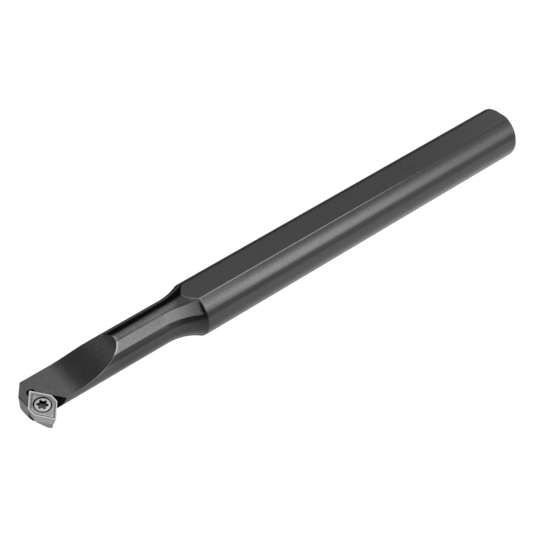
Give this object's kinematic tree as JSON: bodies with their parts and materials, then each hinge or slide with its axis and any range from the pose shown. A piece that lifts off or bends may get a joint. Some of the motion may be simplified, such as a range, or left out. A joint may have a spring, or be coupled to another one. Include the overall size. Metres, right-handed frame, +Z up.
{
  "type": "boring bar",
  "caption": "Steel boring bar with a round shank, a clamping flat along it, a slimmer off-centre neck and a cutting insert screwed into its tip.",
  "frame": {"origin": "on the shank's axis, at the shoulder where the full shank diameter starts", "axes": "+X along the shank's axis towards its back end, -Y the way the cutting tip points, +Z up, the way the clamping flat and the rake face look"},
  "size_m": [0.1367, 0.0127, 0.0113],
  "materials": {
    "bar_steel": "dark oxide finish, satin, with fine turning marks",
    "insert_carbide": "ground and pressed hard metal, light grey, satin",
    "screw_steel": "plain bright steel, satin"
  },
  "bodies": {
    "root": {"bar": "bar_steel", "insert": "insert_carbide", "clamp_screw": "screw_steel"}
  },
  "joints": []
}
